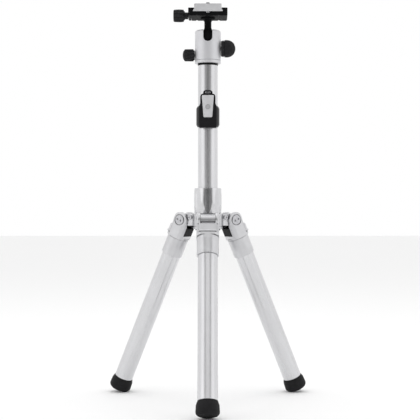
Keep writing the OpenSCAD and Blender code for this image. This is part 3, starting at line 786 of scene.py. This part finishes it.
class TRIPOD_OT_leg_pieces(bpy.types.Operator):
    """Rounds the front leg's castings, bolt and foot, and copies them round the column to the other legs"""

    bl_idname = "tripod.leg_pieces"
    bl_label = "Leg tops and feet"

    def execute(self, context):
        for finish, parts in LEG_EASED.items():
            for part, width in parts.items():
                first = eased_copy("front_" + part, width * MM)
                for side in SIDES[1:]:
                    piece = duplicate(first, f"{side}_{part}_eased")
                    edit(piece)
                    bpy.ops.transform.rotate(
                        value=math.radians(AZIMUTH["front"] - AZIMUTH[side]), orient_axis="Z",
                        center_override=(COLUMN.x, COLUMN.y, 0),
                    )
                    leave()
                    stand_for(piece, f"{side}_{part}", finish)
                stand_for(first, "front_" + part, finish)
        return {"FINISHED"}


# Stage


def smooth_step(owner, value, start, end):
    """0 where a value is at start, 1 where it is at end, and a soft step between."""
    return add_node(
        owner,
        "ShaderNodeMapRange",
        {"From Min": start, "From Max": end},
        [(value, "Value")],
        interpolation_type="SMOOTHSTEP",
    )


def multiply(owner, one, other):
    """The product of two nodes' first outputs."""
    links = [(one.outputs[0], 0), (other.outputs[0], 1)]
    return add_node(owner, "ShaderNodeMath", links=links, operation="MULTIPLY")


def white_world(strength):
    """A white surround with a darker part behind the camera, as between two big side softboxes."""
    world = bpy.data.worlds.new("studio")
    world.use_nodes = True
    background = world.node_tree.nodes["Background"]
    coordinates = add_node(world, "ShaderNodeTexCoord")
    direction = add_node(world, "ShaderNodeSeparateXYZ", links=[(coordinates.outputs["Generated"], "Vector")])
    across = add_node(world, "ShaderNodeMath", links=[(direction.outputs["X"], 0)], operation="ABSOLUTE")
    sideways = across.outputs[0]
    # 1 inside the gap between the side softboxes and 0 outside it, with soft edges
    gap = smooth_step(world, sideways, 0.66, 0.52)
    behind = smooth_step(world, direction.outputs["Y"], -0.1, -0.3)
    low = smooth_step(world, direction.outputs["Z"], 0.62, 0.42)
    front = multiply(world, gap, behind)
    # the darkest part, straight behind the camera, draws the stripe down the column
    core = smooth_step(world, sideways, 0.17, 0.07)
    # a dark band each side, high up, which shows as a fine line along the front leg
    inner, outer = smooth_step(world, sideways, 0.34, 0.42), smooth_step(world, sideways, 0.62, 0.54)
    bands = multiply(world, inner, outer)
    high = multiply(world, bands, smooth_step(world, direction.outputs["Z"], 0.5, 0.6))
    dark = multiply(world, front, low)
    level = add_node(
        world,
        "ShaderNodeMapRange",
        {"To Min": strength, "To Max": strength * 0.33},
        [(dark.outputs[0], "Value")],
    )
    for mask, share in ((multiply(world, dark, core), 0.45), (multiply(world, high, behind), 0.4)):
        ends = {"To Min": 1.0, "To Max": share}
        shaded = add_node(world, "ShaderNodeMapRange", ends, [(mask.outputs[0], "Value")])
        level = multiply(world, level, shaded)
    world.node_tree.links.new(level.outputs[0], background.inputs["Strength"])
    background.inputs["Color"].default_value = (1, 1, 1, 1)
    return world


def area_light(name, place, target, size, power):
    """A square soft light that points at a target."""
    data = bpy.data.lights.new(name, "AREA")
    data.shape = "SQUARE"
    data.size = size
    data.energy = power
    light = bpy.data.objects.new(name, data)
    light.location = place
    light.rotation_euler = (Vector(target) - Vector(place)).to_track_quat("-Z", "Y").to_euler()
    bpy.context.scene.collection.objects.link(light)
    return light


class TRIPOD_OT_stage(bpy.types.Operator):
    """Makes the floor, the lights and the camera"""

    bl_idname = "tripod.stage"
    bl_label = "Studio"

    def execute(self, context):
        studio = context.scene.tripod_studio
        colours = context.scene.tripod_colours
        scene = context.scene
        scene.world = white_world(studio.world)
        scene.view_settings.view_transform = "Standard"
        scene.view_settings.look = "None"

        bpy.ops.object.select_all(action="DESELECT")
        bpy.ops.mesh.primitive_plane_add(size=12, location=(0, 3, 0))
        floor = context.object
        floor.name = "studio_floor"
        material, shader = principled("matte_paper", colours.floor, Specular_IOR_Level=0.1)
        vary(material, shader, object_coordinates(material), 300, 0.85, 0.95)
        give(floor, material)

        target = (0, COLUMN.y, 0.27)
        area_light("left_softbox", (-1.5, -0.7, 0.8), target, 1.2, 1.2)
        area_light("right_softbox", (1.5, -0.7, 0.8), target, 1.2, 0.8)
        area_light("top_softbox", (0, 0.4, 1.8), target, 1.4, 5)

        data = bpy.data.cameras.new("camera")
        data.lens = studio.lens
        data.sensor_width = 36
        data.clip_start = 0.05
        data.clip_end = 50
        camera = bpy.data.objects.new("camera", data)
        camera.location = (studio.camera_shift, COLUMN.y - studio.distance, studio.camera_height)
        camera.rotation_euler = (math.radians(90), 0, 0)
        scene.collection.objects.link(camera)
        scene.camera = camera
        return {"FINISHED"}


class TRIPOD_PT_panel(bpy.types.Panel):
    """Lists the tripod's sizes, colours and pieces"""

    bl_label = "Travel tripod"
    bl_idname = "TRIPOD_PT_panel"
    bl_space_type = "VIEW_3D"
    bl_region_type = "UI"
    bl_category = "Tripod"

    def draw(self, context):
        for group in (context.scene.tripod_sizes, context.scene.tripod_colours, context.scene.tripod_studio):
            for name in group.__annotations__:
                self.layout.prop(group, name)
        for operator in OPERATORS:
            self.layout.operator(operator.bl_idname)


OPERATORS = (
    TRIPOD_OT_finishes,
    TRIPOD_OT_eased_pieces,
    TRIPOD_OT_leg_pieces,
    TRIPOD_OT_ball_lock_knob,
    TRIPOD_OT_ribbed_knobs,
    TRIPOD_OT_camera_screw,
    TRIPOD_OT_stage,
)
GROUPS = {"tripod_sizes": TripodSizes, "tripod_colours": TripodColours, "tripod_studio": TripodStudio}


def register():
    for item in (*GROUPS.values(), *OPERATORS, TRIPOD_PT_panel):
        bpy.utils.register_class(item)
    for name, group in GROUPS.items():
        setattr(bpy.types.Scene, name, bpy.props.PointerProperty(type=group))


def unregister():
    for name in GROUPS:
        delattr(bpy.types.Scene, name)
    for item in reversed((*GROUPS.values(), *OPERATORS, TRIPOD_PT_panel)):
        bpy.utils.unregister_class(item)


def main():
    """Makes everything in order."""
    register()
    bpy.ops.tripod.finishes()
    bpy.ops.tripod.eased_pieces()
    bpy.ops.tripod.leg_pieces()
    bpy.ops.tripod.ball_lock_knob()
    bpy.ops.tripod.ribbed_knobs()
    bpy.ops.tripod.camera_screw()
    bpy.ops.tripod.stage()


if __name__ == "__main__":
    main()
